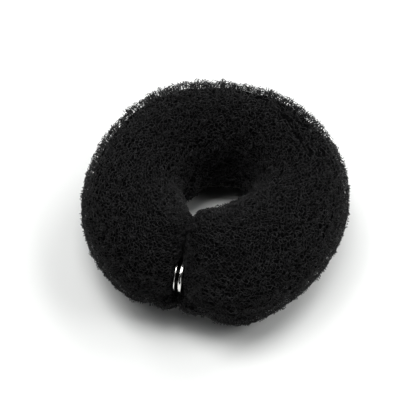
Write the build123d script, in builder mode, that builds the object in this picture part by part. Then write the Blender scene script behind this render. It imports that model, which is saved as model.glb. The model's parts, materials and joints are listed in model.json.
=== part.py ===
from build123d import *
import os
from collections import namedtuple
from math import asin, cos, degrees, radians, sin

os.makedirs("parts", exist_ok=True)

# A hair bun donut: a thick roll of black knitted net bent into a ring, with its two ends held together by a
# metal press stud. It lies on its side, hole upright, with +Z up and the front, where the ends meet, at -Y.
# All lengths are millimetres.

# The ring
BEND_RADIUS = 29.0  # from the middle of the hole to the middle of the roll
ROLL_WIDTH = 37.0
ROLL_HEIGHT = 37.5
WIDEST_HEIGHT = 17.25  # where the roll is widest, above the surface that it lies on
JOINT_DIRECTION = 258.5  # the way from the hole to the joint, in degrees anticlockwise from +X
END_GAP = 0.3  # between the two ends, which press on each other

# The net: a knitted tube with closed ends, and the wound net that fills it
NET_WALL = 2.0
FILLING_GAP = 0.2

# The press stud, whose axis crosses the joint
SNAP_REACH = 36.4  # from the middle of the hole to the press stud's axis
SNAP_HEIGHT = 21.8
PLATE_SPACING = 1.1  # from the stud's plate to the socket's rim
NET_PLAY = 0.1  # round the metal where it is pushed into the net

STUD_PLATE_DIAMETER = 10.8
STUD_PLATE_THICKNESS = 0.4
STUD_SHOULDER_DIAMETER = 6.6
STUD_HEAD_DIAMETER = 4.6
STUD_HEAD_LENGTH = 1.0
STUD_EDGE_RADIUS = 0.15
HEAD_PLAY = 0.1  # between the stud's head and the socket

SOCKET_DIAMETER = 11.6
SOCKET_THICKNESS = 1.3
SOCKET_RIM_WIDTH = 1.4
SOCKET_FACE_DEPTH = 0.35  # how far the socket's face lies below its rim
SOCKET_EDGE_RADIUS = 0.5
SOCKET_HUB_DIAMETER = 6.4
SOCKET_FLOOR = 0.5  # between the hole for the stud's head and the hole for the rivet

# The two rivets inside the roll, which hold the halves of the press stud on the net
RIVET_POST_DIAMETER = 3.0
RIVET_POST_GRIP = 0.8  # how far a post reaches into its half of the press stud
RIVET_PLAY = 0.05
RIVET_HEAD_DIAMETER = 7.0
RIVET_HEAD_THICKNESS = 0.6
RIVETED_NET = 0.9  # between the socket's hub and its rivet's head

# The roll's cross-sections, from the joint anticlockwise round the hole and back to it. The turn is in
# degrees. The reach is a share of the bend's radius, and the width is one of the roll's width. The lean, by
# which the ridge stands off the middle, is a share of the section's own width. The top and the foot are
# shares of the roll's height.
Section = namedtuple("Section", "turn reach width lean top foot")
SECTIONS = [
    Section(turn=0.0, reach=0.89, width=0.58, lean=0.00, top=0.78, foot=0.15),
    Section(turn=2.0, reach=0.93, width=0.71, lean=-0.02, top=0.87, foot=0.11),
    Section(turn=4.5, reach=0.95, width=0.80, lean=-0.04, top=0.94, foot=0.06),
    Section(turn=9.0, reach=0.98, width=0.90, lean=-0.05, top=0.99, foot=0.01),
    Section(turn=17.0, reach=1.03, width=1.03, lean=-0.04, top=1.02, foot=-0.02),
    Section(turn=27.0, reach=1.08, width=1.12, lean=-0.02, top=1.03, foot=-0.03),
    Section(turn=40.0, reach=1.08, width=1.10, lean=-0.01, top=1.03, foot=-0.03),
    Section(turn=60.0, reach=1.09, width=1.05, lean=0.00, top=1.02, foot=-0.03),
    Section(turn=80.0, reach=1.14, width=0.98, lean=0.00, top=1.01, foot=-0.03),
    Section(turn=102.0, reach=1.18, width=0.91, lean=0.00, top=1.00, foot=-0.03),
    Section(turn=125.0, reach=1.13, width=0.90, lean=0.00, top=0.99, foot=-0.03),
    Section(turn=150.0, reach=1.03, width=0.93, lean=0.00, top=0.99, foot=-0.03),
    Section(turn=190.0, reach=0.88, width=0.95, lean=0.00, top=0.98, foot=-0.03),
    Section(turn=225.0, reach=0.84, width=0.95, lean=0.00, top=0.98, foot=-0.03),
    Section(turn=255.0, reach=0.81, width=0.92, lean=0.00, top=0.98, foot=-0.03),
    Section(turn=282.0, reach=0.85, width=0.94, lean=-0.01, top=0.98, foot=-0.03),
    Section(turn=310.0, reach=0.90, width=1.01, lean=-0.02, top=0.99, foot=-0.03),
    Section(turn=332.0, reach=0.96, width=1.03, lean=-0.04, top=1.00, foot=-0.03),
    Section(turn=344.0, reach=0.99, width=0.97, lean=-0.05, top=0.99, foot=-0.02),
    Section(turn=351.0, reach=0.98, width=0.88, lean=-0.05, top=0.97, foot=0.02),
    Section(turn=355.5, reach=0.96, width=0.80, lean=-0.04, top=0.93, foot=0.06),
    Section(turn=358.0, reach=0.93, width=0.71, lean=-0.02, top=0.87, foot=0.11),
    Section(turn=360.0, reach=0.89, width=0.58, lean=0.00, top=0.78, foot=0.15),
]
# The hollow and the filling end bluntly: they leave out the sections where the roll rounds off to the joint.
HOLLOW_SECTIONS = [SECTIONS[2], *SECTIONS[4:-4], SECTIONS[-3]]

# Distances from the middle of the joint into either side of it. The press stud is centred on the joint.
snap_back = (STUD_PLATE_THICKNESS + PLATE_SPACING + SOCKET_THICKNESS) / 2
plate_face = snap_back - STUD_PLATE_THICKNESS
socket_rim = snap_back - SOCKET_THICKNESS
socket_face = socket_rim + SOCKET_FACE_DEPTH
shoulder_end = socket_face - HEAD_PLAY
stud_end = shoulder_end + STUD_HEAD_LENGTH
stud_hole_end = stud_end + HEAD_PLAY
hub_back = stud_hole_end + SOCKET_FLOOR + RIVET_PLAY + RIVET_POST_GRIP
rivet_seat = hub_back + RIVETED_NET
hollow_start = rivet_seat + RIVET_HEAD_THICKNESS + NET_PLAY

# Radii about the press stud's axis
post_radius = RIVET_POST_DIAMETER / 2
post_hole_radius = post_radius + RIVET_PLAY
stud_hole_radius = STUD_HEAD_DIAMETER / 2 + HEAD_PLAY


def cross_plane(turn, distance=0.0):
    """The upright plane through the hole's middle at a turn, moved along the roll, with its X outwards."""
    direction = radians(JOINT_DIRECTION + turn)
    outwards = Vector(cos(direction), sin(direction), 0)
    along = Vector(-sin(direction), cos(direction), 0)
    return Plane(origin=along * distance, x_dir=outwards, z_dir=-along)


def roll(sections, first_plane, last_plane, inset):
    """The roll round the hole's middle, lofted through its sections less the inset, and flat underneath."""
    planes = [first_plane, *[cross_plane(section.turn) for section in sections[1:-1]], last_plane]
    with BuildPart() as form:
        for plane, section in zip(planes, sections):
            half_width = section.width * ROLL_WIDTH / 2 - inset
            middle = section.reach * BEND_RADIUS
            ridge = middle + section.lean * section.width * ROLL_WIDTH
            outer, inner = middle + half_width - ridge, ridge - middle + half_width
            upper = section.top * ROLL_HEIGHT - inset - WIDEST_HEIGHT
            lower = WIDEST_HEIGHT - section.foot * ROLL_HEIGHT - inset
            with BuildSketch(plane):
                with BuildLine():
                    for start, across, upright in (
                        (0, outer, upper),
                        (90, inner, upper),
                        (180, inner, lower),
                        (270, outer, lower),
                    ):
                        EllipticalCenterArc((ridge, WIDEST_HEIGHT), across, upright, start, arc_size=90)
                make_face()
        loft()
        split(bisect_by=Plane.XY.offset(inset), keep=Keep.TOP)
    return form.part


def inner_roll(clearance):
    """The form inside the net: its blunt ends clear the inner side of the rivets' heads."""
    turn = degrees(asin((hollow_start + clearance) / (SNAP_REACH - RIVET_HEAD_DIAMETER / 2)))
    return roll(HOLLOW_SECTIONS, cross_plane(turn), cross_plane(-turn), NET_WALL + clearance)


# The origin is under the middle of the whole ring, which is not the middle of its hole.
outer_form = roll(SECTIONS, cross_plane(0.0, END_GAP / 2), cross_plane(0.0, -END_GAP / 2), 0.0)
ring_middle = outer_form.bounding_box().center()
hole_middle = Vector(-ring_middle.X, -ring_middle.Y, 0)
to_hole = Location(hole_middle)

# The press stud's axis runs through the joint, from the stud's side to the socket's. Its turned pieces have
# their profiles on a plane along that axis: X is the distance from the middle of the joint, Y the radius.
joint = cross_plane(0.0)
to_socket, to_stud = -joint.z_dir, joint.z_dir
snap_middle = hole_middle + joint.x_dir * SNAP_REACH + Vector(0, 0, SNAP_HEIGHT)
snap_axis = Axis(snap_middle, to_socket)
snap_profile = Plane(origin=snap_middle, x_dir=to_socket, z_dir=to_socket.cross(joint.x_dir))


def snap_plane(side, distance):
    """The plane across the press stud's axis at a distance into one side of the joint, facing that way."""
    return Plane(origin=snap_middle + side * distance, x_dir=joint.x_dir, z_dir=side)


# The knitted tube, whose closed ends take the two halves of the press stud
with BuildPart() as net_sleeve:
    add(outer_form.moved(to_hole))
    add(inner_roll(0.0).moved(to_hole), mode=Mode.SUBTRACT)
    for side, rim_diameter in ((to_socket, SOCKET_DIAMETER), (to_stud, STUD_PLATE_DIAMETER)):
        with BuildSketch(snap_plane(side, 0.0)):
            Circle(rim_diameter / 2 + NET_PLAY)
        extrude(amount=snap_back, mode=Mode.SUBTRACT)
        with BuildSketch(snap_plane(side, snap_back)):
            Circle(post_radius + NET_PLAY)
        extrude(amount=rivet_seat - snap_back, mode=Mode.SUBTRACT)
        with BuildSketch(snap_plane(side, rivet_seat)):
            Circle(RIVET_HEAD_DIAMETER / 2 + NET_PLAY)
        extrude(amount=hollow_start - rivet_seat, mode=Mode.SUBTRACT)
    with BuildSketch(snap_plane(to_socket, snap_back)):
        Circle(SOCKET_HUB_DIAMETER / 2 + NET_PLAY)
    extrude(amount=hub_back + NET_PLAY - snap_back, mode=Mode.SUBTRACT)
net_sleeve.part.label = "net_sleeve"
export_step(net_sleeve.part, "parts/net_sleeve.step")

# The wound net inside the tube
with BuildPart() as net_filling:
    add(inner_roll(FILLING_GAP).moved(to_hole))
net_filling.part.label = "net_filling"
export_step(net_filling.part, "parts/net_filling.step")

# The socket: a rolled rim round a sunk face, with a hub that stands into the net
with BuildPart() as snap_socket:
    with BuildSketch(snap_profile):
        with BuildLine():
            Polyline(
                (stud_hole_end, 0),
                (stud_hole_end, stud_hole_radius),
                (socket_face, stud_hole_radius),
                (socket_face, SOCKET_DIAMETER / 2 - SOCKET_RIM_WIDTH),
                (socket_rim, SOCKET_DIAMETER / 2 - SOCKET_RIM_WIDTH),
                (socket_rim, SOCKET_DIAMETER / 2),
                (snap_back, SOCKET_DIAMETER / 2),
                (snap_back, SOCKET_HUB_DIAMETER / 2),
                (hub_back, SOCKET_HUB_DIAMETER / 2),
                (hub_back, post_hole_radius),
                (stud_hole_end + SOCKET_FLOOR, post_hole_radius),
                (stud_hole_end + SOCKET_FLOOR, 0),
                close=True,
            )
        make_face()
    revolve(axis=snap_axis)
    rim_edges = snap_socket.edges().filter_by(GeomType.CIRCLE).sort_by(SortBy.RADIUS)[-2:]
    fillet(rim_edges, radius=SOCKET_EDGE_RADIUS)
snap_socket.part.label = "snap_socket"
export_step(snap_socket.part, "parts/snap_socket.step")

# The stud: a thin plate with a shoulder and a round head that goes into the socket
with BuildPart() as snap_stud:
    with BuildSketch(snap_profile):
        with BuildLine():
            Polyline(
                (stud_end, 0),
                (stud_end, STUD_HEAD_DIAMETER / 2),
                (shoulder_end, STUD_HEAD_DIAMETER / 2),
                (shoulder_end, STUD_SHOULDER_DIAMETER / 2),
                (-plate_face, STUD_SHOULDER_DIAMETER / 2),
                (-plate_face, STUD_PLATE_DIAMETER / 2),
                (-snap_back, STUD_PLATE_DIAMETER / 2),
                (-snap_back, post_hole_radius),
                (-snap_back + RIVET_POST_GRIP + RIVET_PLAY, post_hole_radius),
                (-snap_back + RIVET_POST_GRIP + RIVET_PLAY, 0),
                close=True,
            )
        make_face()
    revolve(axis=snap_axis)
    plate_edges = snap_stud.edges().filter_by(GeomType.CIRCLE).sort_by(SortBy.RADIUS)[-2:]
    fillet(plate_edges, radius=STUD_EDGE_RADIUS)
snap_stud.part.label = "snap_stud"
export_step(snap_stud.part, "parts/snap_stud.step")

# One rivet behind each half: a post through the net, and a flat head against its inside
for name, side, post_end in (
    ("socket_rivet", to_socket, hub_back - RIVET_POST_GRIP),
    ("stud_rivet", to_stud, snap_back - RIVET_POST_GRIP),
):
    with BuildPart() as rivet:
        with BuildSketch(snap_plane(side, post_end)):
            Circle(post_radius)
        extrude(amount=rivet_seat - post_end)
        with BuildSketch(snap_plane(side, rivet_seat)):
            Circle(RIVET_HEAD_DIAMETER / 2)
        extrude(amount=RIVET_HEAD_THICKNESS)
    rivet.part.label = name
    export_step(rivet.part, f"parts/{name}.step")
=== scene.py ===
import json
import math

import bpy
import numpy as np
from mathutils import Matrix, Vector
from mathutils.bvhtree import BVHTree

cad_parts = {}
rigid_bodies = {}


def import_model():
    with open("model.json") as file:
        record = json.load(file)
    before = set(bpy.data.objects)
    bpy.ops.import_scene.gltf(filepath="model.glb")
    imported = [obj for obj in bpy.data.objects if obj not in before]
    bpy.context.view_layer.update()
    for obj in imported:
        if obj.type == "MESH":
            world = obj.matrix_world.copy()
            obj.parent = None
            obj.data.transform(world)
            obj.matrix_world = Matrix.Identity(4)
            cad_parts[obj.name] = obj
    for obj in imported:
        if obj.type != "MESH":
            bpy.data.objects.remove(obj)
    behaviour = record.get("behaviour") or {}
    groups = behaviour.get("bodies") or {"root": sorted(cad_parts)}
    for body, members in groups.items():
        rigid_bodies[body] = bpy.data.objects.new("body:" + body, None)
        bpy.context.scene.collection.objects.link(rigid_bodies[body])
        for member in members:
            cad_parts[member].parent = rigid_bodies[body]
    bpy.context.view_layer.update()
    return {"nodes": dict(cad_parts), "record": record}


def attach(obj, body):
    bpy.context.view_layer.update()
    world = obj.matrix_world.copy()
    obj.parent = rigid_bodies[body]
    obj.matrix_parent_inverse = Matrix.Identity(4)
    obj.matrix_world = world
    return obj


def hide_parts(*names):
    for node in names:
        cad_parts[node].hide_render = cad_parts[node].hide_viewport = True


bl_info = {
    "name": "Hair Bun Donut",
    "version": (1, 0, 0),
    "blender": (4, 5, 0),
    "location": "3D View > Sidebar > Bun Donut",
    "description": "Nets, winds and lights a padded ring of black net that a press stud closes",
    "category": "Object",
}

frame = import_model()
MM = 0.001

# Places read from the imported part


def span_along(node, direction):
    """The least and the greatest distance along a direction that a CAD node reaches."""
    distances = [vertex.co.dot(direction) for vertex in frame["nodes"][node].data.vertices]
    return min(distances), max(distances)


def flat_side(node):
    """The direction that the largest facet of a CAD node faces."""
    return max(frame["nodes"][node].data.polygons, key=lambda facet: facet.area).normal.copy()


UP = Vector((0.0, 0.0, 1.0))
SNAP_FACING = flat_side("socket_rivet")
SOCKET_AHEAD = span_along("socket_rivet", SNAP_FACING)[1] > span_along("stud_rivet", SNAP_FACING)[1]
TO_SOCKET = SNAP_FACING if SOCKET_AHEAD else -SNAP_FACING
OUTWARDS = TO_SOCKET.cross(UP)
JOINT_PLACE = (span_along("stud_rivet", TO_SOCKET)[0] + span_along("socket_rivet", TO_SOCKET)[1]) / 2
SNAP_REACH = sum(span_along("snap_socket", OUTWARDS)) / 2
SNAP_HEIGHT = sum(span_along("snap_socket", UP)) / 2
SNAP_MIDDLE = TO_SOCKET * JOINT_PLACE + OUTWARDS * SNAP_REACH + UP * SNAP_HEIGHT
SNAP_RADIUS = span_along("snap_socket", UP)[1] - SNAP_HEIGHT
SNAP_BACK = JOINT_PLACE - span_along("snap_stud", TO_SOCKET)[0]
HOLE_MOUNT = next(m for m in frame["record"]["mounts"] if m["name"] == "hair_hole")
HOLE_PLACE = Vector(HOLE_MOUNT["pos_m"])
HOLE_MIDDLE = TO_SOCKET * JOINT_PLACE + OUTWARDS * HOLE_PLACE.dot(OUTWARDS) + UP * HOLE_PLACE.z


class NetProperties(bpy.types.PropertyGroup):
    """The open net round the roll."""

    cell_length: bpy.props.FloatProperty(
        name="Cell Length", description="One cell of the net along the roll",
        default=1.4 * MM, unit="LENGTH",
    )
    cell_width: bpy.props.FloatProperty(
        name="Cell Width", description="From thread to thread across the roll",
        default=0.8 * MM, unit="LENGTH",
    )
    unevenness: bpy.props.FloatProperty(
        name="Unevenness", description="How far knots stray from their places, as a share of a cell",
        default=0.34, subtype="FACTOR",
    )
    fray: bpy.props.FloatProperty(
        name="Fray", description="How far the net's threads stray from their layer",
        default=0.2 * MM, unit="LENGTH",
    )
    strand: bpy.props.FloatProperty(
        name="Strand", description="How thick a thread is", default=0.2 * MM, unit="LENGTH"
    )
    net_depth: bpy.props.FloatProperty(
        name="Net Depth", description="How far the net lies under the roll's surface",
        default=0.2 * MM, unit="LENGTH",
    )
    underside: bpy.props.FloatProperty(
        name="Underside", description="How much wider apart the threads lie underneath", default=1.5
    )
    color: bpy.props.FloatVectorProperty(
        name="Colour", description="Black thread",
        default=(0.0084, 0.0084, 0.0088), subtype="COLOR", size=3,
    )


class FuzzProperties(bpy.types.PropertyGroup):
    """The curled threads that stand off the net."""

    spacing: bpy.props.FloatProperty(
        name="Spacing", description="From thread to thread in the outermost layer",
        default=9.0 * MM, unit="LENGTH",
    )
    thickening: bpy.props.FloatProperty(
        name="Thickening", description="How much closer the threads of the next layer lie",
        default=0.6,
    )
    curl: bpy.props.FloatProperty(
        name="Curl", description="Width of the curls that a thread makes",
        default=1.0 * MM, unit="LENGTH",
    )
    pitch: bpy.props.FloatProperty(
        name="Pitch", description="From one curl of a thread to the next",
        default=1.0 * MM, unit="LENGTH",
    )
    length: bpy.props.FloatProperty(
        name="Length", description="How far a thread runs", default=3.0 * MM, unit="LENGTH"
    )
    rise: bpy.props.FloatProperty(
        name="Rise", description="Height of the curls, from the net to their tips",
        default=1.5 * MM, unit="LENGTH",
    )
    depth: bpy.props.FloatProperty(
        name="Depth", description="How far the middle of the outermost curls lies under the roll's surface",
        default=0.1 * MM, unit="LENGTH",
    )
    layer_gap: bpy.props.FloatProperty(
        name="Layer Gap", description="From one layer to the next", default=0.45 * MM, unit="LENGTH"
    )
    layers: bpy.props.IntProperty(
        name="Layers", description="How many layers of curled threads", default=3, min=1
    )


class CoreProperties(bpy.types.PropertyGroup):
    """The net wound tight inside the open net."""

    depth: bpy.props.FloatProperty(
        name="Depth", description="How far the core lies under the roll's surface",
        default=1.4 * MM, unit="LENGTH",
    )
    wraps: bpy.props.FloatProperty(
        name="Wraps", description="How far the wound net stands up in wraps",
        default=0.25 * MM, unit="LENGTH",
    )


class SnapProperties(bpy.types.PropertyGroup):
    """The press stud."""

    color: bpy.props.FloatVectorProperty(
        name="Plating", description="Bright nickel",
        default=(0.82, 0.81, 0.79), subtype="COLOR", size=3,
    )
    roughness: bpy.props.FloatProperty(
        name="Roughness", description="How dull the plating is", default=0.16, subtype="FACTOR"
    )
    # Painted shade: up to this distance from its axis the press stud's plating is painted nearly black,
    # standing in for the shade between its plates.
    painted_shade_within: bpy.props.FloatProperty(
        name="Dark Within", description="How far from its axis the inside of the press stud is painted_in_shade",
        default=5.15 * MM, unit="LENGTH",
    )


class StageProperties(bpy.types.PropertyGroup):
    """Camera, floor and lights."""

    distance: bpy.props.FloatProperty(
        name="Distance", description="From the camera to the ring", default=0.417, unit="LENGTH"
    )
    elevation: bpy.props.FloatProperty(
        name="Elevation", description="How far above the table the camera looks from",
        default=math.radians(58), subtype="ANGLE",
    )
    lens: bpy.props.FloatProperty(name="Lens", description="Focal length in millimetres", default=103.0)
    floor_size: bpy.props.FloatProperty(
        name="Table", description="Width of the pale table", default=2.6, unit="LENGTH"
    )


def deselect_all():
    """Clears the selection, because an operator acts on all that is selected."""
    for thing in bpy.context.view_layer.objects:
        thing.select_set(False)


def make_active(thing):
    """Selects one object alone and makes it the active one."""
    deselect_all()
    thing.select_set(True)
    bpy.context.view_layer.objects.active = thing


def apply_modifiers(thing):
    """Applies the modifiers of an object, first to last."""
    make_active(thing)
    for modifier in list(thing.modifiers):
        bpy.ops.object.modifier_apply(modifier=modifier.name)


# Soft lights: name, degrees round from the right, degrees up, width in metres, watts

SOFT_LIGHTS = (
    ("overhead", 90, 84, 0.5, 6.0),
    ("left_high", 180, 60, 0.5, 3.1),
    ("back_left", 135, 62, 0.5, 5.0),
    ("back_right", 45, 45, 0.5, 6.1),
    ("right", 0, 45, 0.5, 5.6),
    ("front_low", 270, 30, 0.5, 0.9),
    ("backdrop", 90, 15, 0.8, 2.5),
)
LIGHT_DISTANCE = 1.2
LIGHT_MIDDLE = Vector((0, 0, 0.02))  # what the lights stand round and point at
STUDIO_COLOR = (0.75, 0.78, 0.8)  # the faint light from all round
STUDIO_STRENGTH = 0.02
TABLE_COLOR = (0.82, 0.83, 0.82)
CAMERA_TARGET = Vector((0.19 * MM, 0.56 * MM, 18 * MM))
CAMERA_SHIFT = (-8 / 416, -10 / 416)  # as shares of the picture's width

# Colours and grain, where a scale counts the grains in a metre

THREAD_GRAIN = 1100.0
THREAD_TONES = ((0.35, 0.25), (0.68, 2.4))  # where the thread is darker and lighter, in flecks at random, and how bright it is there
WINDING_WAVER = 900.0
WINDING_STRAY = 0.0012  # how far the wound threads stray
WINDING_CELLS = 750.0
SHADED_WOUND_THREAD = (0.02, (0.004, 0.004, 0.0042))  # up to what share of a cell a thread reaches, and its colour, painted darker than the open net's thread as painted shade of the deep winding
# Painted shade: the gaps between the wound threads are painted nearly black
SHADED_WOUND_GAP = (0.22, (0.0012, 0.0012, 0.0013))
SCRATCHES = 700.0
SCRATCHED = (0.7, 1.5)  # the least and the greatest roughness, as shares
STEEL_COLOR = (0.12, 0.12, 0.125)
STEEL_ROUGHNESS = 0.4
PAINTED_SHADE_PLATING = 0.003  # how bright the painted shade inside the press stud is, as a share of the plating
# Over what distance the painted shade inside the press stud gives way to bright plating
PAINTED_SHADE_EDGE = 0.1 * MM

# The roll's outer form, read from the sleeve

END_TURN = math.radians(0.4)  # how far round from the joint the first ring is read
END_ROWS = 16  # closely spaced turns at either end, where the roll rounds off
END_SPREAD = math.radians(12.0)  # and how far round they go
BODY_ROWS = 120
AROUND = 96  # points on each ring
REACH_LIMIT = 26 * MM  # past the roll's surface from its own middle, and short of the hole's far side
PAST_HIT = 0.02 * MM  # how far past one surface the search for the next starts
WELL_OUTSIDE = 100 * MM
LAST_ROW = 1.001  # how far short of the number of rings a place along the roll stays
CAP_ROWS = 6  # shrinking rings that close either end
CAP_STEP = 0.13  # how much smaller each of them is, as a share of the roll's last ring
CORE_ENDS = 3  # how many rings at either end of the roll the core leaves out

# The joint: the two ends press together, apart from the hole's notch and the groove over the press stud

PRESSED = 1.0 * MM  # what lies within this of the joint is pressed flat against the other end
ROUNDED = 6.0 * MM  # from here on the ends keep their form
NOTCH = (19 * MM, 25 * MM)  # from where to where, off the ring's axis, the notch at the hole closes
GROOVE_SLOPE = -0.35  # how far outwards the groove goes as it rises
GROOVE_START = (SNAP_REACH - 8.0 * MM, SNAP_REACH - 5.5 * MM)  # where it opens, at the press stud's height
GROOVE_FLOOR = 4.0 * MM  # how far over the press stud's axis its floor lies
GROOVE_RISE = 0.25  # and how far that rises inwards
GROOVE_DEPTH = 6 * MM
GROOVE_WIDTH = 1.2 * MM  # half its width at its top
GROOVE_REACH = (25 * MM, 29 * MM)  # from where to where, off the ring's axis, it deepens
GROOVE_SIDES = 6 * MM  # how far to either side the lobes give way
UNDER_SNAP = (SNAP_HEIGHT - 8.0 * MM, SNAP_HEIGHT - 5.0 * MM)  # up to where the two ends press under it
FILLING = 4 * MM  # how far the net bulges out under the press stud, where the two ends press together
FILLED_REACH = (28 * MM, 36 * MM)
FILLED_WIDTH = 8 * MM
FILLED_ABOVE = 3 * MM  # from this height up the bulge is whole
SNAP_CLEARANCE = 0.3 * MM  # how far off the press stud's edge the threads stay
SNAP_FADE = 1.0 * MM  # over what distance they come back to their places
SNAP_NEAR = 10 * MM  # how far along its axis they give way to it
CORE_CLEARANCE = 0.5 * MM

# The folds of net that sag into the hole: middle and half width as angles round from the right, and depth

SAGS = (
    (math.radians(25), math.radians(58), 6 * MM),
    (math.radians(120), math.radians(58), 4.5 * MM),
)
SAG_BELOW = (1 * MM, 5 * MM)  # the heights between which a sag grows
SAG_ABOVE = (10 * MM, 20 * MM)  # and between which it ends
SAG_REACH = (14 * MM, 22 * MM)  # from where to where, off the hole's middle, it fades into the roll

# How tight the net lies

TIGHT_REACH = 16 * MM  # up to here from the middle of the hole the threads lie close to the roll
LOOSE_REACH = 30 * MM  # and from here on each layer keeps its own depth
CLOSE_DEPTH = 0.5 * MM  # the least depth of a layer there
LOOSE_FROM = (-5 * MM, 25 * MM)  # from where to where, towards the back, the net gets loose
LOOSE_OUTSIDE = (30 * MM, 37 * MM)  # and from where to where, off the hole's middle
LOOSE_BACK = 0.3  # how much deeper the layers lie where the net is loose
LOOSE_CURLS = 0.8  # how much higher the curls stand there
LOOSE_FRAY = 2.2  # and how much further the net's threads stray from their layer
OPEN_BACK = 0.35  # the looseness from which every other thread of the net is missing
THIN_BACK = 0.5  # the share of the curled threads that are missing there

# The threads: a side is two shares of the way round the roll, from its outer side over the top

UPPER_SIDE = (-0.06, 0.56)
LOWER_SIDE = (0.56, 0.94)
STRAND_SIDES = 3
STRAND_RADIUS = 0.6  # from a strand's middle to its edges, as a share of its thickness
FIRST_KNOT = 0.25  # where a line's first knot stands, as a share of a cell
FEWEST_KNOTS = 8
FEWEST_STARTS = 4
SHORTEST_ROW = 0.15 * MM  # rows of the roll count as at least this far apart
CURL_POINTS = 5  # points on each curl of a thread
CURL_SPREAD = (0.7, 1.3)  # how the curls of different threads differ in size
CURL_LIMITS = (0.5, 1.5)
CURL_DRIFT = 0.12  # how fast a thread's curls change in size
BEND_DRIFT = 0.25  # how fast its course changes
STRAY = 0.25  # how far it may start from its place, as a share of the space between two
WANDER_RADIUS = 4.0 * MM  # the tightest bend in its course
WRAPS = ((0.9, 2), (0.23, 1))  # how the core's wraps run: waves in a row, and waves round the roll


def turns_of_roll():
    """The turns at which the roll is read, close together at its ends."""
    start = np.linspace(END_TURN, END_SPREAD, END_ROWS, endpoint=False)
    body = np.linspace(END_SPREAD, 2 * math.pi - END_SPREAD, BODY_ROWS, endpoint=False)
    end = 2 * math.pi - start[::-1]
    return np.concatenate([start, body, end])


def last_hit(tree, origin, direction):
    """Where a ray from inside the roll leaves its outer surface."""
    place, travelled = origin, 0.0
    found = None
    while True:
        hit, _, _, distance = tree.ray_cast(place, direction, REACH_LIMIT - travelled)
        if hit is None:
            return found
        found = hit
        travelled += distance + PAST_HIT
        place = origin + direction * travelled


def read_roll(sleeve):
    """The roll's outer surface as rings of points, one at each turn, and the middle of each ring."""
    corners = [vertex.co for vertex in sleeve.data.vertices]
    facets = [tuple(facet.vertices) for facet in sleeve.data.polygons]
    tree = BVHTree.FromPolygons(corners, facets)
    joint_direction = math.atan2(OUTWARDS.y, OUTWARDS.x)
    rings, middles = [], []
    for turn in turns_of_roll():
        direction = joint_direction + turn
        out = Vector((math.cos(direction), math.sin(direction), 0.0))
        inner = tree.ray_cast(HOLE_MIDDLE, out)[0]
        outer = tree.ray_cast(HOLE_MIDDLE + out * WELL_OUTSIDE, -out)[0]
        middle = (inner + outer) / 2
        ring = []
        for step in range(AROUND):
            angle = 2 * math.pi * step / AROUND
            ray = out * math.cos(angle) + Vector((0, 0, math.sin(angle)))
            ring.append(last_hit(tree, middle, ray))
        rings.append(np.array(ring))
        middles.append(np.array(middle))
    return sagged_hole(np.array(rings)), np.array(middles)


def ramp(values, start, stop):
    """0 up to the start, 1 from the stop on."""
    return np.clip((values - start) / (stop - start), 0, 1)


def sagged_hole(rings):
    """The roll with the loose net of the hole's back wall sagging in, low down."""
    from_hole = (rings - np.array(HOLE_MIDDLE))[..., :2]
    reach = np.linalg.norm(from_hole, axis=-1)
    facing = np.arctan2(from_hole[..., 1], from_hole[..., 0])
    sag = 0
    for middle, width, depth in SAGS:
        sag = sag + depth * np.clip(1 - ((facing - middle) / width) ** 2, 0, 1)
    low = ramp(rings[..., 2], *SAG_BELOW) * (1 - ramp(rings[..., 2], *SAG_ABOVE))
    sag = sag * low * (1 - ramp(reach, *SAG_REACH))
    moved = rings.copy()
    moved[..., :2] -= from_hole / np.maximum(reach, MM)[..., None] * sag[..., None]
    return moved


def off_hole(points):
    """How far points lie from the hole's middle, seen from above."""
    return np.linalg.norm(points[..., :2] - np.array(HOLE_MIDDLE)[:2], axis=-1)


def looseness(points):
    """How loose the net lies, up to 1 on the outer side of the ring's back, where nothing pulls on it."""
    return ramp(points[..., 1], *LOOSE_FROM) * ramp(off_hole(points), *LOOSE_OUTSIDE)


def layer_depth(points, depth):
    """How deep a layer lies at each point: deeper at the back, and close to the roll round the hole."""
    outer = ramp(off_hole(points), TIGHT_REACH, LOOSE_REACH)
    return (depth * outer + max(depth, CLOSE_DEPTH) * (1 - outer)) * (1 + LOOSE_BACK * looseness(points))


def closed_joint(rings):
    """Draws the roll's two rounded ends together, where the net of one presses on that of the other.

    They stay apart at the hole, and over the press stud, which lies at the bottom of a sloping groove.
    Under the press stud the net bulges out.
    """
    axis = np.array(TO_SOCKET)
    along = (rings - np.array(SNAP_MIDDLE)) @ axis
    reach, height = rings @ np.array(OUTWARDS), rings[..., 2]
    before_groove = 1 - ramp(reach - GROOVE_SLOPE * (height - SNAP_HEIGHT), *GROOVE_START)
    under_snap = 1 - ramp(height, *UNDER_SNAP)
    pressed = ramp(reach, *NOTCH) * np.maximum(before_groove, under_snap)
    drawn = ramp(np.abs(along), PRESSED, ROUNDED)
    moved = np.where(np.abs(along) < ROUNDED, np.sign(along) * drawn * ROUNDED, along)
    shift = (moved - along) * pressed
    rings = rings + shift[..., None] * axis
    along = along + shift
    above = height - SNAP_HEIGHT - GROOVE_FLOOR - GROOVE_RISE * (SNAP_REACH - reach)
    opening = GROOVE_WIDTH * ramp(above, 0, GROOVE_DEPTH) * ramp(reach, *GROOVE_REACH)
    apart = opening * np.clip(1 - np.abs(along) / GROOVE_SIDES, 0, 1)
    rings = rings + (np.sign(along) * apart)[..., None] * axis
    beside = 1 - ramp(np.abs(along), 0, FILLED_WIDTH) ** 2
    filled = FILLING * ramp(reach, *FILLED_REACH) * under_snap * beside * ramp(height, 0, FILLED_ABOVE)
    return rings + filled[..., None] * np.array(OUTWARDS)


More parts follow.
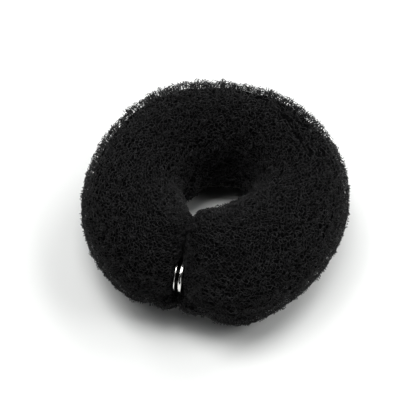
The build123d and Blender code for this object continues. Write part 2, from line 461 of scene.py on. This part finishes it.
def sunk_roll(roll, depth, skipped=0):
    """The roll drawn in towards the middle of each section, closed at both ends by shrinking rings."""
    rings, middles = roll
    rings, middles = rings[skipped:len(rings) - skipped], middles[skipped:len(middles) - skipped]
    spokes = rings - middles[:, None]
    reach = np.linalg.norm(spokes, axis=2)
    shrink = 1 - layer_depth(rings, depth) / reach
    rings = closed_joint(middles[:, None] + spokes * shrink[..., None])
    shares = 1 - CAP_STEP * np.arange(1, CAP_ROWS + 1)
    caps = []
    for end in (0, -1):
        middle = rings[end].mean(axis=0)
        caps.append([middle + (rings[end] - middle) * share for share in shares])
    return np.concatenate([caps[0][::-1], rings, caps[1]])


def between(rings, row, around):
    """Points on the roll at fractional rows and places round it."""
    row = np.clip(row, 0, len(rings) - LAST_ROW)
    low_row, low_around = np.floor(row).astype(int), np.floor(around).astype(int)
    part_row, part_around = (row - low_row)[:, None], (around - low_around)[:, None]
    a0, a1 = low_around % AROUND, (low_around + 1) % AROUND
    near = rings[low_row, a0] * (1 - part_around) + rings[low_row, a1] * part_around
    far = rings[low_row + 1, a0] * (1 - part_around) + rings[low_row + 1, a1] * part_around
    return near * (1 - part_row) + far * part_row


def girth(rings):
    """The distance round the roll at its middle row."""
    ring = rings[len(rings) // 2]
    return np.linalg.norm(np.roll(ring, -1, axis=0) - ring, axis=1).sum()


def unit(vectors):
    """The same directions, each of length 1."""
    return vectors / np.maximum(np.linalg.norm(vectors, axis=-1, keepdims=True), 1e-12)


def directions(rings):
    """Unit vectors at each point of the roll: outwards, and round the roll."""
    across = np.roll(rings, -1, axis=1) - np.roll(rings, 1, axis=1)
    along = np.gradient(rings, axis=0)
    outward = np.cross(across, along)
    half = len(rings) // 2
    if ((rings[half] - rings[half].mean(axis=0)) * outward[half]).sum() < 0:
        outward = -outward
    return unit(outward), unit(across)


def run_along(rings, around):
    """How far it is to each row, on a line along the roll at one place round it."""
    spots = between(rings, np.arange(len(rings), dtype=float), np.full(len(rings), around))
    return np.concatenate([[0.0], np.cumsum(np.linalg.norm(np.diff(spots, axis=0), axis=1))])


def sides_of_joint(rings, row):
    """Which side of the joint each row belongs to: 1 where the socket is, and -1 where the stud is."""
    near_start = rings[len(rings) // 8].mean(axis=0)
    start_side = np.sign((near_start - np.array(SNAP_MIDDLE)) @ np.array(TO_SOCKET))
    return np.where(row < len(rings) / 2, start_side, -start_side)


def net_threads(rings, side, cell_length, cell_width, unevenness, draws):
    """Threads along the roll that swing from side to side, so that each meets its neighbours in turn.

    Knots stand in staggered lines along the roll. A thread runs in the lane between two lines and touches
    each of them halfway between its knots.
    """
    low, high = side
    lanes = round(girth(rings) * (high - low) / cell_width)
    row_of, around_of = [], []
    for line in range(lanes + 1):
        around = AROUND * (low + (high - low) * line / lanes)
        run = run_along(rings, around)
        count = max(FEWEST_KNOTS, round(run[-1] / cell_length))
        steps = (np.arange(count) + FIRST_KNOT + 0.5 * (line % 2)) / count
        steps = steps + draws.uniform(-unevenness, unevenness, count) / count
        row_of.append(np.interp(np.clip(steps, 0, 1) * run[-1], run, np.arange(len(rings))))
        strayed = draws.uniform(-unevenness, unevenness, count) * AROUND * (high - low) / lanes
        around_of.append(around + strayed)
    threads = []
    for line in range(lanes):
        near = np.stack([row_of[line], around_of[line]], axis=1)
        far = np.stack([row_of[line + 1], around_of[line + 1]], axis=1)
        thread = []
        i, j = 0, 0
        while i < len(near) - 1 or j < len(far) - 1:
            far_done = j == len(far) - 1
            near_left = i < len(near) - 1
            if far_done or (near_left and near[i + 1, 0] <= far[j + 1, 0]):
                thread.append((near[i] + near[i + 1]) / 2)
                i += 1
            else:
                thread.append((far[j] + far[j + 1]) / 2)
                j += 1
        threads.append(np.array(thread))
    return threads


def keep_clear_of_snap(points, sides, strand):
    """Moves points along the press stud's axis until they lie beside their own half of it."""
    axis, middle = np.array(TO_SOCKET), np.array(SNAP_MIDDLE)
    along = (points - middle) @ axis
    off_axis = np.linalg.norm(points - middle - along[:, None] * axis, axis=1)
    beside = np.clip((SNAP_RADIUS + SNAP_CLEARANCE + SNAP_FADE - off_axis) / SNAP_FADE, 0, 1)
    needed = (SNAP_BACK + strand) * beside
    push = np.maximum(needed - sides * along, 0.0)
    near = np.abs(along) < SNAP_NEAR
    return points + (sides * push * near)[:, None] * axis


def resting(places, strand):
    """Lifts points so that their strands lie on the table and not in it."""
    places[:, 2] = np.maximum(places[:, 2], strand * STRAND_RADIUS)
    return places


def thread_starts(rings, side, apart, draws):
    """Places spread evenly over one side of the roll, each a little out of line."""
    low, high = side
    lanes = round(girth(rings) * (high - low) / apart)
    row_of, around_of = [], []
    for lane in range(lanes):
        lane_middle = AROUND * (low + (high - low) * (lane + 0.5) / lanes)
        run = run_along(rings, lane_middle)
        count = max(FEWEST_STARTS, round(run[-1] / apart))
        steps = np.arange(count) + 0.5 + draws.uniform(-STRAY, STRAY, count) + 0.5 * (lane % 2)
        row_of.append(np.interp(steps / (count + 0.5) * run[-1], run, np.arange(len(rings))))
        around_of.append(lane_middle + draws.uniform(-STRAY, STRAY, count) * AROUND * (high - low) / lanes)
    return np.concatenate(row_of), np.concatenate(around_of)


def curled_threads(rings, side, spacing, strand, settings, draws):
    """Threads that wander over the roll, each in curls that reach over its neighbours."""
    outward, across = directions(rings)
    per_row = np.maximum(np.linalg.norm(np.gradient(rings, axis=0), axis=2, keepdims=True), SHORTEST_ROW)
    per_step = np.linalg.norm(np.roll(rings, -1, axis=1) - rings, axis=2, keepdims=True)
    row, around = thread_starts(rings, side, math.sqrt(spacing * settings.length), draws)
    kept = draws.random(len(row)) > THIN_BACK * looseness(between(rings, row, around))
    row, around = row[kept], around[kept]
    threads = len(row)
    sides = sides_of_joint(rings, row)
    heading = draws.uniform(0, 2 * math.pi, threads)
    bend = draws.uniform(-1, 1, threads)
    phase = draws.uniform(0, 2 * math.pi, threads)
    spin = draws.choice([-1.0, 1.0], threads) * 2 * math.pi / CURL_POINTS
    width = draws.uniform(*CURL_SPREAD, threads)
    advance = settings.pitch / CURL_POINTS
    path = []
    for _ in range(round(settings.length / advance)):
        out = between(outward, row, around)
        over = between(across, row, around)
        ahead = np.cross(over, out)
        forward = ahead * np.cos(heading)[:, None] + over * np.sin(heading)[:, None]
        beside = np.cross(out, forward)
        places = between(rings, row, around)
        rise = settings.rise / 2 * width * (1 + LOOSE_CURLS * looseness(places))
        places = places + beside * (settings.curl / 2 * width * np.cos(phase))[:, None]
        places = places + out * (rise * np.sin(phase))[:, None]
        path.append(resting(keep_clear_of_snap(places, sides, strand), strand))
        row = row + np.cos(heading) * advance / between(per_row, row, around)[:, 0]
        row = np.clip(row, 0, len(rings) - LAST_ROW)
        around = around + np.sin(heading) * advance / between(per_step, row, around)[:, 0]
        bend = np.clip(bend + draws.normal(0.0, BEND_DRIFT, threads), -1, 1)
        heading = heading + bend * advance / WANDER_RADIUS
        phase = phase + spin * draws.uniform(*CURL_SPREAD, threads)
        width = np.clip(width + draws.normal(0.0, CURL_DRIFT, threads), *CURL_LIMITS)
    return np.array(path).transpose(1, 0, 2)


def strand_modifier(piece, thickness, name):
    """Gives each edge of a piece its thickness as a closed three-sided strand."""
    tree = bpy.data.node_groups.new(name, "GeometryNodeTree")
    tree.interface.new_socket("Geometry", in_out="INPUT", socket_type="NodeSocketGeometry")
    tree.interface.new_socket("Geometry", in_out="OUTPUT", socket_type="NodeSocketGeometry")
    nodes, links = tree.nodes, tree.links
    source, result = nodes.new("NodeGroupInput"), nodes.new("NodeGroupOutput")
    to_curve = nodes.new("GeometryNodeMeshToCurve")
    to_mesh = nodes.new("GeometryNodeCurveToMesh")
    profile = nodes.new("GeometryNodeCurvePrimitiveCircle")
    smooth = nodes.new("GeometryNodeSetShadeSmooth")
    profile.mode = "RADIUS"
    profile.inputs["Resolution"].default_value = STRAND_SIDES
    profile.inputs["Radius"].default_value = thickness * STRAND_RADIUS
    to_mesh.inputs["Fill Caps"].default_value = True
    links.new(source.outputs[0], to_curve.inputs["Mesh"])
    links.new(to_curve.outputs["Curve"], to_mesh.inputs["Curve"])
    links.new(profile.outputs["Curve"], to_mesh.inputs["Profile Curve"])
    links.new(to_mesh.outputs["Mesh"], smooth.inputs["Geometry"])
    links.new(smooth.outputs["Geometry"], result.inputs[0])
    modifier = piece.modifiers.new("Strands", "NODES")
    modifier.node_group = tree


def thread_piece(name, threads, strand, material):
    """One piece of many threads, each a line of points given its thickness."""
    points, edges = [], []
    for places in threads:
        first = len(points)
        points.extend(places.tolist())
        edges.extend((first + k, first + k + 1) for k in range(len(places) - 1))
    mesh = bpy.data.meshes.new(name)
    mesh.from_pydata(points, edges, [])
    piece = bpy.data.objects.new(name, mesh)
    bpy.context.scene.collection.objects.link(piece)
    strand_modifier(piece, strand, name + "_strands")
    apply_modifiers(piece)
    piece.data.materials.append(material)
    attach(piece, "root")
    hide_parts("net_sleeve")
    return piece


def placed_threads(rings, threads, settings, draws):
    """The net's threads as points, a little out of line, clear of the press stud and above the table.

    Where the net is loose, every other thread is missing.
    """
    for lane, thread in enumerate(threads):
        places = between(rings, thread[:, 0], thread[:, 1])
        frayed = settings.fray * (1 + LOOSE_FRAY * looseness(places))
        places = places + draws.normal(0.0, 1.0, places.shape) * frayed[:, None]
        places = keep_clear_of_snap(places, sides_of_joint(rings, thread[:, 0]), settings.strand)
        places = resting(places, settings.strand)
        missing = (looseness(places) > OPEN_BACK) & (lane % 2 == 1)
        for run in np.split(np.arange(len(places)), np.flatnonzero(np.diff(missing)) + 1):
            if len(run) > 1 and not missing[run[0]]:
                yield places[run]


def core_mesh(rings):
    """A closed skin over the rings of points, with its two ends drawn to a point."""
    rows = len(rings)
    points = rings.reshape(-1, 3).tolist()
    faces = []
    for row in range(rows - 1):
        for step in range(AROUND):
            following = (step + 1) % AROUND
            near, far = row * AROUND, (row + 1) * AROUND
            faces.append((near + step, far + step, far + following, near + following))
    for row, turned in ((0, True), (rows - 1, False)):
        tip = len(points)
        points.append(rings[row].mean(axis=0).tolist())
        for step in range(AROUND):
            pair = (row * AROUND + step, row * AROUND + (step + 1) % AROUND)
            faces.append((tip, *(pair if turned else pair[::-1])))
    mesh = bpy.data.meshes.new("wound_core")
    mesh.from_pydata(points, [], faces)
    return mesh


def socket_value(node, name, value):
    """Sets an input of a shader node."""
    node.inputs[name].default_value = value


def new_material(name):
    """A material with a shader, and its nodes and links."""
    material = bpy.data.materials.new(name)
    material.use_nodes = True
    return material, material.node_tree.nodes, material.node_tree.links


def noise_on_piece(nodes, links, place, scale, detail):
    """Noise that keeps its place on the piece."""
    noise = nodes.new("ShaderNodeTexNoise")
    socket_value(noise, "Scale", scale)
    socket_value(noise, "Detail", detail)
    links.new(place.outputs["Object"], noise.inputs["Vector"])
    return noise


def two_tones(nodes, links, value, *tones):
    """A colour between two tones, each a place on the way from 0 to 1 and a colour."""
    tint = nodes.new("ShaderNodeValToRGB")
    for stop, (position, color) in zip(tint.color_ramp.elements, tones):
        stop.position = position
        stop.color = (*color, 1.0)
    links.new(value, tint.inputs["Fac"])
    return tint


def thread_material(name, color):
    """Fine black thread, darker and lighter in flecks at random, and faintly shiny."""
    material, nodes, links = new_material(name)
    shader = nodes["Principled BSDF"]
    grain = noise_on_piece(nodes, links, nodes.new("ShaderNodeTexCoord"), THREAD_GRAIN, detail=1.0)
    tones = [(position, [share * c for c in color]) for position, share in THREAD_TONES]
    tint = two_tones(nodes, links, grain.outputs["Fac"], *tones)
    links.new(tint.outputs["Color"], shader.inputs["Base Color"])
    socket_value(shader, "Roughness", 0.45)
    socket_value(shader, "Specular IOR Level", 0.25)
    return material


def wound_material():
    """The net wound tight: threads that cross each other close together, painted darker than the open net's
    and nearly black between them, as painted shade of the deep winding.
    """
    material, nodes, links = new_material("wound net")
    shader = nodes["Principled BSDF"]
    place = nodes.new("ShaderNodeTexCoord")
    waver = noise_on_piece(nodes, links, place, WINDING_WAVER, detail=1.0)
    strayed = nodes.new("ShaderNodeVectorMath")
    strayed.operation = "MULTIPLY_ADD"
    strayed.inputs[1].default_value = [WINDING_STRAY] * 3
    cells = nodes.new("ShaderNodeTexVoronoi")
    cells.feature = "DISTANCE_TO_EDGE"
    socket_value(cells, "Scale", WINDING_CELLS)
    links.new(waver.outputs["Color"], strayed.inputs[0])
    links.new(place.outputs["Object"], strayed.inputs[2])
    links.new(strayed.outputs["Vector"], cells.inputs["Vector"])
    # Painted shade: dark threads, and nearly black gaps between them
    tint = two_tones(nodes, links, cells.outputs["Distance"], SHADED_WOUND_THREAD, SHADED_WOUND_GAP)
    links.new(tint.outputs["Color"], shader.inputs["Base Color"])
    socket_value(shader, "Roughness", 0.8)
    socket_value(shader, "Specular IOR Level", 0.0)
    return material


def metal_material(name, color, roughness, painted_shade_within=0.0):
    """Plated metal with faint scratches, painted nearly black up to a distance from the press stud's axis
    as painted shade between its plates.
    """
    material, nodes, links = new_material(name)
    shader = nodes["Principled BSDF"]
    place = nodes.new("ShaderNodeTexCoord")
    scratches = noise_on_piece(nodes, links, place, SCRATCHES, detail=4.0)
    spread = nodes.new("ShaderNodeMapRange")
    socket_value(spread, "To Min", roughness * SCRATCHED[0])
    socket_value(spread, "To Max", roughness * SCRATCHED[1])
    from_middle = nodes.new("ShaderNodeVectorMath")
    from_middle.operation = "SUBTRACT"
    from_middle.inputs[1].default_value = SNAP_MIDDLE
    beside_axis = nodes.new("ShaderNodeVectorMath")
    beside_axis.operation = "CROSS_PRODUCT"
    beside_axis.inputs[1].default_value = TO_SOCKET
    distance = nodes.new("ShaderNodeVectorMath")
    distance.operation = "LENGTH"
    # Painted shade: the plating turns nearly black near the press stud's axis
    shade_mask = nodes.new("ShaderNodeMapRange")
    socket_value(shade_mask, "From Min", painted_shade_within)
    socket_value(shade_mask, "From Max", painted_shade_within + PAINTED_SHADE_EDGE)
    tone = nodes.new("ShaderNodeMix")
    tone.data_type = "RGBA"
    tone.inputs["A"].default_value = (*[c * PAINTED_SHADE_PLATING for c in color], 1.0)
    tone.inputs["B"].default_value = (*color, 1.0)
    links.new(scratches.outputs["Fac"], spread.inputs["Value"])
    links.new(spread.outputs["Result"], shader.inputs["Roughness"])
    links.new(place.outputs["Object"], from_middle.inputs[0])
    links.new(from_middle.outputs["Vector"], beside_axis.inputs[0])
    links.new(beside_axis.outputs["Vector"], distance.inputs[0])
    links.new(distance.outputs["Value"], shade_mask.inputs["Value"])
    links.new(shade_mask.outputs["Result"], tone.inputs["Factor"])
    links.new(tone.outputs["Result"], shader.inputs["Base Color"])
    socket_value(shader, "Metallic", 1.0)
    return material


class BUNDONUT_OT_core(bpy.types.Operator):
    """Wind the net tight inside the open net"""

    bl_idname = "bundonut.core"
    bl_label = "Wound Core"

    def execute(self, context):
        settings = context.scene.bun_core
        rings = sunk_roll(read_roll(frame["nodes"]["net_sleeve"]), settings.depth, CORE_ENDS)
        rows, steps = np.meshgrid(np.arange(len(rings)), np.arange(AROUND), indexing="ij")
        turned = steps * 2 * math.pi / AROUND
        wave = 1
        for per_row, round_roll in WRAPS:
            wave = wave * np.sin(rows * per_row + round_roll * turned)
        inwards = unit(rings.mean(axis=1, keepdims=True) - rings)
        rings = rings + inwards * (settings.wraps * (1 + wave))[..., None]
        flat = rings.reshape(-1, 3)
        sides = np.sign((flat - np.array(SNAP_MIDDLE)) @ np.array(TO_SOCKET))
        rings = keep_clear_of_snap(flat, sides, CORE_CLEARANCE).reshape(rings.shape)
        core = bpy.data.objects.new("wound_core", core_mesh(rings))
        context.scene.collection.objects.link(core)
        make_active(core)
        bpy.ops.object.shade_smooth()
        core.data.materials.append(wound_material())
        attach(core, "root")
        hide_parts("net_filling")
        return {"FINISHED"}


class BUNDONUT_OT_net(bpy.types.Operator):
    """Lay the open net round the core"""

    bl_idname = "bundonut.net"
    bl_label = "Net"

    def execute(self, context):
        settings = context.scene.bun_net
        material = thread_material("net thread 1", settings.color)
        rings = sunk_roll(read_roll(frame["nodes"]["net_sleeve"]), settings.net_depth)
        for name, side, stretch, seed in (
            ("net_upper_1", UPPER_SIDE, 1.0, 100),
            ("net_lower_1", LOWER_SIDE, settings.underside, 101),
        ):
            draws = np.random.default_rng(seed)
            length, width = settings.cell_length * stretch, settings.cell_width * stretch
            threads = net_threads(rings, side, length, width, settings.unevenness, draws)
            thread_piece(name, placed_threads(rings, threads, settings, draws), settings.strand, material)
        return {"FINISHED"}


class BUNDONUT_OT_fuzz(bpy.types.Operator):
    """Lay curled threads loosely over the net"""

    bl_idname = "bundonut.fuzz"
    bl_label = "Curled Threads"

    def execute(self, context):
        settings, net = context.scene.bun_fuzz, context.scene.bun_net
        roll = read_roll(frame["nodes"]["net_sleeve"])
        material = thread_material("curled thread", net.color)
        for layer in range(settings.layers):
            rings = sunk_roll(roll, settings.depth + settings.layer_gap * layer)
            spacing = settings.spacing * settings.thickening ** layer
            for name, side, stretch, seed in (
                ("fuzz_upper", UPPER_SIDE, 1.0, 200),
                ("fuzz_lower", LOWER_SIDE, net.underside, 201),
            ):
                draws = np.random.default_rng(seed + 2 * layer)
                threads = curled_threads(rings, side, spacing * stretch, net.strand, settings, draws)
                thread_piece(f"{name}_{layer + 1}", threads, net.strand, material)
        return {"FINISHED"}


class BUNDONUT_OT_snap(bpy.types.Operator):
    """Plate the press stud and its rivets"""

    bl_idname = "bundonut.snap"
    bl_label = "Press Stud"

    def execute(self, context):
        settings = context.scene.bun_snap
        plating = metal_material("nickel plating", settings.color, settings.roughness, settings.painted_shade_within)
        plain = metal_material("plain steel", STEEL_COLOR, STEEL_ROUGHNESS)
        for node, material in (
            ("snap_socket", plating),
            ("snap_stud", plating),
            ("socket_rivet", plain),
            ("stud_rivet", plain),
        ):
            piece = frame["nodes"][node]
            piece.data.materials.clear()
            piece.data.materials.append(material)
            for slot in piece.material_slots:
                slot.material = material
        return {"FINISHED"}


class BUNDONUT_OT_stage(bpy.types.Operator):
    """Set the table, the lights and the camera"""

    bl_idname = "bundonut.stage"
    bl_label = "Stage"

    def execute(self, context):
        settings = context.scene.bun_stage
        deselect_all()
        bpy.ops.mesh.primitive_grid_add(x_subdivisions=8, y_subdivisions=8, size=settings.floor_size)
        table = context.active_object
        table.name = "table"
        material, nodes, _ = new_material("pale table")
        shader = nodes["Principled BSDF"]
        socket_value(shader, "Base Color", (*TABLE_COLOR, 1.0))
        socket_value(shader, "Roughness", 0.7)
        socket_value(shader, "Specular IOR Level", 0.2)
        table.data.materials.append(material)

        for name, turn, height, size, power in SOFT_LIGHTS:
            turn, height = math.radians(turn), math.radians(height)
            level = math.cos(height)
            towards = Vector((level * math.cos(turn), level * math.sin(turn), math.sin(height)))
            data = bpy.data.lights.new(name, "AREA")
            data.size = size
            data.energy = power
            lamp = bpy.data.objects.new(name, data)
            lamp.location = LIGHT_MIDDLE + towards * LIGHT_DISTANCE
            lamp.rotation_euler = towards.to_track_quat("Z", "Y").to_euler()
            context.scene.collection.objects.link(lamp)

        world = bpy.data.worlds.new("studio")
        world.use_nodes = True
        background = world.node_tree.nodes["Background"]
        socket_value(background, "Color", (*STUDIO_COLOR, 1.0))
        socket_value(background, "Strength", STUDIO_STRENGTH)
        context.scene.world = world

        back = Vector((0, -math.cos(settings.elevation), math.sin(settings.elevation)))
        camera_data = bpy.data.cameras.new("camera")
        camera_data.lens = settings.lens
        camera_data.sensor_width = 36.0
        camera_data.shift_x, camera_data.shift_y = CAMERA_SHIFT
        camera_data.clip_start, camera_data.clip_end = 0.01, 10.0
        camera = bpy.data.objects.new("camera", camera_data)
        camera.location = CAMERA_TARGET + back * settings.distance
        camera.rotation_euler = (-back).to_track_quat("-Z", "Y").to_euler()
        context.scene.collection.objects.link(camera)
        context.scene.camera = camera
        context.scene.view_settings.view_transform = "Standard"
        return {"FINISHED"}


class BUNDONUT_PT_panel(bpy.types.Panel):
    """The donut's pieces in the order in which they are made"""

    bl_idname = "BUNDONUT_PT_panel"
    bl_label = "Bun Donut"
    bl_space_type = "VIEW_3D"
    bl_region_type = "UI"
    bl_category = "Bun Donut"

    def draw(self, context):
        for group, operator in (
            ("bun_core", "bundonut.core"),
            ("bun_net", "bundonut.net"),
            ("bun_fuzz", "bundonut.fuzz"),
            ("bun_snap", "bundonut.snap"),
            ("bun_stage", "bundonut.stage"),
        ):
            column = self.layout.column(align=True)
            settings = getattr(context.scene, group)
            for name in settings.__annotations__:
                column.prop(settings, name)
            column.operator(operator)


GROUPS = {
    "bun_core": CoreProperties,
    "bun_net": NetProperties,
    "bun_fuzz": FuzzProperties,
    "bun_snap": SnapProperties,
    "bun_stage": StageProperties,
}
CLASSES = (
    *GROUPS.values(),
    BUNDONUT_OT_core,
    BUNDONUT_OT_net,
    BUNDONUT_OT_fuzz,
    BUNDONUT_OT_snap,
    BUNDONUT_OT_stage,
    BUNDONUT_PT_panel,
)


def register():
    """Adds the settings, operators and panel."""
    for part in CLASSES:
        bpy.utils.register_class(part)
    for name, group in GROUPS.items():
        setattr(bpy.types.Scene, name, bpy.props.PointerProperty(type=group))


def unregister():
    """Takes them away again."""
    for name in GROUPS:
        delattr(bpy.types.Scene, name)
    for part in reversed(CLASSES):
        bpy.utils.unregister_class(part)


def main():
    """Makes the donut, piece by piece."""
    register()
    bpy.ops.bundonut.core()
    bpy.ops.bundonut.net()
    bpy.ops.bundonut.fuzz()
    bpy.ops.bundonut.snap()
    bpy.ops.bundonut.stage()


if __name__ == "__main__":
    main()
